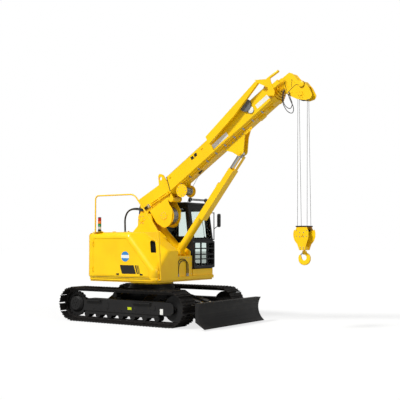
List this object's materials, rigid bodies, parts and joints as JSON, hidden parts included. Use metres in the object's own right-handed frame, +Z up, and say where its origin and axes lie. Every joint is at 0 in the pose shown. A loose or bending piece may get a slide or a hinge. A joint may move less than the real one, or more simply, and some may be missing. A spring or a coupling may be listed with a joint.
{
  "type": "crawler-mounted telescopic crane",
  "caption": "Compact telescopic-boom crane on tracks with a cab, blade, winch and hook block.",
  "frame": {"origin": "on the ground under the slewing axis", "axes": "+X forward to the blade, +Y to the machine's left, +Z up"},
  "size_m": [6.1445, 2.633, 5.5033],
  "materials": {
    "paint_yellow": "gloss",
    "paint_black": "satin",
    "paint_grey": "satin",
    "paint_white": "gloss",
    "track_steel": "matte",
    "steel": "satin",
    "chrome_rod": "gloss",
    "glass": "gloss",
    "trim_plastic": "matte",
    "signal_plastic": "gloss",
    "fabric_grey": "matte"
  },
  "bodies": {
    "undercarriage": {"car_body": "paint_black", "slew_race": "steel", "track_frames": "paint_black", "track_left": "track_steel", "track_right": "track_steel", "sprockets": "paint_black", "idlers": "paint_black", "rollers": "paint_black"},
    "blade": {"blade": "paint_black"},
    "blade_barrels": {"blade_cylinder_barrels": "paint_black"},
    "blade_rods": {"blade_cylinder_rods": "chrome_rod"},
    "upper": {"turntable": "paint_yellow", "counterweight": "paint_yellow", "engine_hood": "paint_yellow", "rear_hood": "paint_yellow", "engine_block": "paint_grey", "cab_shell": "paint_black", "cab_glass": "glass", "cab_seat": "fabric_grey", "cab_console": "trim_plastic", "cab_guard": "paint_black", "handrails": "paint_yellow", "signal_light": "signal_plastic", "mirror": "trim_plastic"},
    "cab_door": {"cab_door": "paint_black", "door_glass": "glass"},
    "engine_door": {"engine_door": "paint_yellow"},
    "hood_lid": {"hood_lid": "paint_yellow"},
    "boom": {"boom_base": "paint_yellow", "winch_frame": "paint_yellow", "aux_winch": "paint_yellow", "stowed_jib": "paint_yellow", "cable_reel": "paint_grey", "boom_pipes": "paint_yellow"},
    "winch_drum": {"winch_drum": "paint_yellow"},
    "section_2": {"boom_section_2": "paint_yellow"},
    "section_3": {"boom_section_3": "paint_yellow"},
    "section_4": {"boom_section_4": "paint_yellow"},
    "section_5": {"boom_section_5": "paint_yellow", "boom_head": "paint_yellow"},
    "head_sheaves": {"head_sheaves": "steel"},
    "derrick_barrel": {"derrick_barrel": "paint_yellow"},
    "derrick_rod": {"derrick_rod": "chrome_rod", "rod_guard": "paint_yellow"},
    "falls": {"hoist_ropes": "steel"},
    "hook_block": {"hook_block": "paint_yellow"},
    "block_sheaves": {"block_sheaves": "steel"},
    "hook": {"hook": "paint_yellow"}
  },
  "joints": [
    {"name": "slew", "type": "hinge", "parent": "undercarriage", "child": "upper", "pos_m": [0, 0, 0.87], "axis": [0, 0, 1], "continuous": true},
    {"name": "blade_lift", "type": "hinge", "parent": "undercarriage", "child": "blade", "pos_m": [0.79, 0, 0.43], "axis": [0, -1, 0], "range_deg": [-12, 16]},
    {"name": "blade_barrel_swing", "type": "hinge", "parent": "undercarriage", "child": "blade_barrels", "pos_m": [0.72, 0, 0.66], "axis": [0, -1, 0], "range_deg": [-10.96, 14.61]},
    {"name": "blade_rod_slide", "type": "slide", "parent": "blade_barrels", "child": "blade_rods", "axis": [0.9784, 0, -0.2068], "range_m": [-0.0595, 0.0446]},
    {"name": "cab_door_hinge", "type": "hinge", "parent": "upper", "child": "cab_door", "pos_m": [-0.13, 1.1843, 1.9], "axis": [0, 0, 1], "range_deg": [0, 95]},
    {"name": "engine_door_hinge", "type": "hinge", "parent": "upper", "child": "engine_door", "pos_m": [-0.8, -1.2073, 1.5], "axis": [0, 0, -1], "range_deg": [0, 110]},
    {"name": "hood_lid_hinge", "type": "hinge", "parent": "upper", "child": "hood_lid", "pos_m": [-0.82, -0.7, 2.0923], "axis": [0, -1, 0], "range_deg": [0, 70]},
    {"name": "boom_derrick", "type": "hinge", "parent": "upper", "child": "boom", "pos_m": [-0.15, 0, 2.38], "axis": [0, -1, 0], "range_deg": [-34.5, 40.5]},
    {"name": "derrick_barrel_swing", "type": "hinge", "parent": "upper", "child": "derrick_barrel", "pos_m": [0.8, 0, 1.62], "axis": [0, -1, 0], "range_deg": [-33.53, 39.37]},
    {"name": "derrick_rod_slide", "type": "slide", "parent": "derrick_barrel", "child": "derrick_rod", "axis": [0.6151, 0, 0.7885], "range_m": [-0.6925, 0.8129]},
    {"name": "tele_2", "type": "slide", "parent": "boom", "child": "section_2", "axis": [0.8241, 0, 0.5664], "range_m": [0, 2.7]},
    {"name": "tele_3", "type": "slide", "parent": "section_2", "child": "section_3", "axis": [0.8241, 0, 0.5664], "range_m": [0, 2.7]},
    {"name": "tele_4", "type": "slide", "parent": "section_3", "child": "section_4", "axis": [0.8241, 0, 0.5664], "range_m": [0, 2.7]},
    {"name": "tele_5", "type": "slide", "parent": "section_4", "child": "section_5", "axis": [0.8241, 0, 0.5664], "range_m": [0, 2.7]},
    {"name": "winch_drum_spin", "type": "hinge", "parent": "boom", "child": "winch_drum", "pos_m": [0.4853, 0, 2.47081], "axis": [0, 1, 0], "continuous": true},
    {"name": "head_sheave_spin", "type": "hinge", "parent": "section_5", "child": "head_sheaves", "pos_m": [4.05454, 0, 4.96635], "axis": [0, 1, 0], "continuous": true},
    {"name": "hook_hang", "type": "hinge", "parent": "section_5", "child": "falls", "pos_m": [4.05454, 0, 4.96635], "axis": [0, -1, 0], "range_deg": [-40.5, 34.5]},
    {"name": "hoist", "type": "slide", "parent": "falls", "child": "hook_block", "axis": [0, 0, -1], "range_m": [-2.3, 1.25], "deforming": ["hoist_ropes"]},
    {"name": "block_sheave_spin", "type": "hinge", "parent": "hook_block", "child": "block_sheaves", "pos_m": [4.05454, 0, 2.01], "axis": [0, 1, 0], "continuous": true},
    {"name": "hook_swivel", "type": "hinge", "parent": "hook_block", "child": "hook", "pos_m": [4.05454, 0, 1.683], "axis": [0, 0, 1], "continuous": true}
  ],
  "couplings": [
    {"joint": "blade_barrel_swing", "follows": "blade_lift", "ratio": 0.91305},
    {"joint": "blade_rod_slide", "follows": "blade_lift", "m_per_rad": -0.21287},
    {"joint": "derrick_barrel_swing", "follows": "boom_derrick", "ratio": 0.972},
    {"joint": "derrick_rod_slide", "follows": "boom_derrick", "m_per_rad": 1.15},
    {"joint": "tele_4", "follows": "tele_3", "ratio": 1},
    {"joint": "tele_5", "follows": "tele_3", "ratio": 1},
    {"joint": "hook_hang", "follows": "boom_derrick", "ratio": -1}
  ]
}
